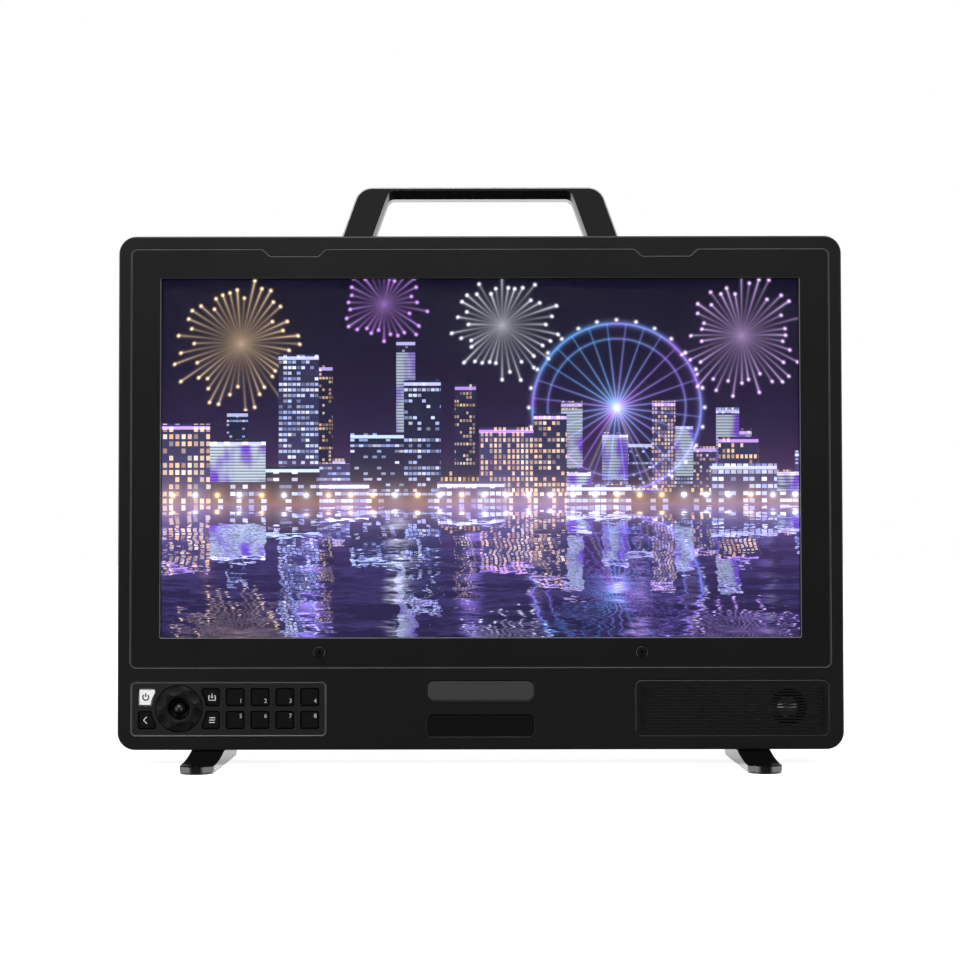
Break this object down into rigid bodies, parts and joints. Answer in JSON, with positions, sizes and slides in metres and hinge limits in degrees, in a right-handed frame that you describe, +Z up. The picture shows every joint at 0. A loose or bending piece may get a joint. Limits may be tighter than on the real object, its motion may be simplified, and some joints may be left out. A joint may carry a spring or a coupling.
{
  "type": "production monitor",
  "caption": "Desk-standing production monitor with a flat screen, carry handle, long feet, keys, a jog wheel round a joystick, a slotted speaker panel and a rear mounting pattern.",
  "frame": {"origin": "on the floor, under the middle of the box round the part", "axes": "+Z up, +X to the viewer's right, the screen faces -Y"},
  "size_m": [0.4328, 0.14, 0.348],
  "materials": {
    "frame_black": "fine matte black hard anodising",
    "bezel_black": "matte black anodised plate, bright broken edges",
    "control_black": "finely textured charcoal plastic",
    "clear_glass": "clear bonded cover glass",
    "display": "lit display panel",
    "white_sheet": "milky diffuser",
    "circuit_board": "solder-masked circuit board",
    "bare_aluminium": "plain sheet aluminium",
    "steel": "zinc-plated steel",
    "black_screw": "black oxide screws",
    "key_rubber": "matte black silicone keys",
    "key_white": "white power key",
    "jog_black": "satin black wheel",
    "stick_black": "polished black joystick",
    "inner_black": "black moulded plastic",
    "foam_black": "black felt and foam",
    "cone_silver": "silver dome on a dark cone",
    "tally_grey": "smoked grey window",
    "name_gloss": "bare gloss black plate",
    "foot_black": "satin black machined foot",
    "sole_rubber": "black rubber sole",
    "jack_metal": "nickel-plated jacks",
    "gold_pin": "gold-flashed pins"
  },
  "bodies": {
    "chassis": {"front_frame": "frame_black", "rear_cover": "frame_black", "handle": "frame_black", "screen_bezel": "bezel_black", "speaker_grille": "bezel_black", "io_plate": "bezel_black", "control_plate": "control_black", "cover_glass": "clear_glass", "lcd_panel": "display", "diffuser_sheet": "white_sheet", "led_bars": "circuit_board", "key_board": "circuit_board", "tally_board": "circuit_board", "main_board": "circuit_board", "io_board": "circuit_board", "panel_tray": "bare_aluminium", "heat_sink": "bare_aluminium", "vesa_plate": "steel", "vesa_posts": "steel", "handle_screws": "steel", "foot_screws": "steel", "speaker_magnet": "steel", "hdmi_sockets": "steel", "bezel_screws": "black_screw", "rear_screws": "black_screw", "encoder_base": "inner_black", "key_switches": "inner_black", "speaker_basket": "inner_black", "fan_frames": "inner_black", "network_socket": "inner_black", "power_inlet": "inner_black", "panel_gasket": "foam_black", "grille_felt": "foam_black", "tally_lens": "tally_grey", "name_plate": "name_gloss", "foot_left": "foot_black", "foot_right": "foot_black", "foot_pads": "sole_rubber", "bnc_jacks": "jack_metal", "power_pins": "gold_pin"},
    "power_button": {"power_button": "key_white"},
    "back_button": {"back_button": "key_rubber"},
    "page_button": {"page_button": "key_rubber"},
    "menu_button": {"menu_button": "key_rubber"},
    "user_button_1": {"user_button_1": "key_rubber"},
    "user_button_2": {"user_button_2": "key_rubber"},
    "user_button_3": {"user_button_3": "key_rubber"},
    "user_button_4": {"user_button_4": "key_rubber"},
    "user_button_5": {"user_button_5": "key_rubber"},
    "user_button_6": {"user_button_6": "key_rubber"},
    "user_button_7": {"user_button_7": "key_rubber"},
    "user_button_8": {"user_button_8": "key_rubber"},
    "jog_ring": {"jog_ring": "jog_black"},
    "joystick_gimbal": {"joystick_gimbal": "stick_black"},
    "joystick_sleeve": {"joystick_sleeve": "stick_black"},
    "joystick_nub": {"joystick_nub": "stick_black"},
    "speaker_cone": {"speaker_cone": "cone_silver"},
    "fan_rotor_left": {"fan_rotor_left": "inner_black"},
    "fan_rotor_right": {"fan_rotor_right": "inner_black"}
  },
  "joints": [
    {"name": "power_button_press", "type": "slide", "parent": "chassis", "child": "power_button", "axis": [0, 1, 0], "range_m": [0, 0.0008], "stiffness_N_per_m": 400},
    {"name": "back_button_press", "type": "slide", "parent": "chassis", "child": "back_button", "axis": [0, 1, 0], "range_m": [0, 0.0008], "stiffness_N_per_m": 400},
    {"name": "page_button_press", "type": "slide", "parent": "chassis", "child": "page_button", "axis": [0, 1, 0], "range_m": [0, 0.0008], "stiffness_N_per_m": 400},
    {"name": "menu_button_press", "type": "slide", "parent": "chassis", "child": "menu_button", "axis": [0, 1, 0], "range_m": [0, 0.0008], "stiffness_N_per_m": 400},
    {"name": "user_button_1_press", "type": "slide", "parent": "chassis", "child": "user_button_1", "axis": [0, 1, 0], "range_m": [0, 0.0008], "stiffness_N_per_m": 400},
    {"name": "user_button_2_press", "type": "slide", "parent": "chassis", "child": "user_button_2", "axis": [0, 1, 0], "range_m": [0, 0.0008], "stiffness_N_per_m": 400},
    {"name": "user_button_3_press", "type": "slide", "parent": "chassis", "child": "user_button_3", "axis": [0, 1, 0], "range_m": [0, 0.0008], "stiffness_N_per_m": 400},
    {"name": "user_button_4_press", "type": "slide", "parent": "chassis", "child": "user_button_4", "axis": [0, 1, 0], "range_m": [0, 0.0008], "stiffness_N_per_m": 400},
    {"name": "user_button_5_press", "type": "slide", "parent": "chassis", "child": "user_button_5", "axis": [0, 1, 0], "range_m": [0, 0.0008], "stiffness_N_per_m": 400},
    {"name": "user_button_6_press", "type": "slide", "parent": "chassis", "child": "user_button_6", "axis": [0, 1, 0], "range_m": [0, 0.0008], "stiffness_N_per_m": 400},
    {"name": "user_button_7_press", "type": "slide", "parent": "chassis", "child": "user_button_7", "axis": [0, 1, 0], "range_m": [0, 0.0008], "stiffness_N_per_m": 400},
    {"name": "user_button_8_press", "type": "slide", "parent": "chassis", "child": "user_button_8", "axis": [0, 1, 0], "range_m": [0, 0.0008], "stiffness_N_per_m": 400},
    {"name": "jog_turn", "type": "hinge", "parent": "chassis", "child": "jog_ring", "pos_m": [-0.1798, -0.0024, 0.0336], "axis": [0, 1, 0], "continuous": true},
    {"name": "joystick_tilt_up", "type": "hinge", "parent": "chassis", "child": "joystick_gimbal", "pos_m": [-0.1798, -0.0024, 0.0336], "axis": [1, 0, 0], "range_deg": [-10, 10], "stiffness_Nm_per_rad": 0.02},
    {"name": "joystick_tilt_side", "type": "hinge", "parent": "joystick_gimbal", "child": "joystick_sleeve", "pos_m": [-0.1798, -0.0024, 0.0336], "axis": [0, 0, 1], "range_deg": [-10, 10], "stiffness_Nm_per_rad": 0.02},
    {"name": "joystick_press", "type": "slide", "parent": "joystick_sleeve", "child": "joystick_nub", "axis": [0, 1, 0], "range_m": [0, 0.0006], "stiffness_N_per_m": 600},
    {"name": "speaker_stroke", "type": "slide", "parent": "chassis", "child": "speaker_cone", "axis": [0, 1, 0], "range_m": [-0.0005, 0.0005], "stiffness_N_per_m": 1200},
    {"name": "fan_left_spin", "type": "hinge", "parent": "chassis", "child": "fan_rotor_left", "pos_m": [-0.104, 0.0595, 0.254], "axis": [0, 1, 0], "continuous": true},
    {"name": "fan_right_spin", "type": "hinge", "parent": "chassis", "child": "fan_rotor_right", "pos_m": [0.104, 0.0595, 0.254], "axis": [0, 1, 0], "continuous": true}
  ]
}
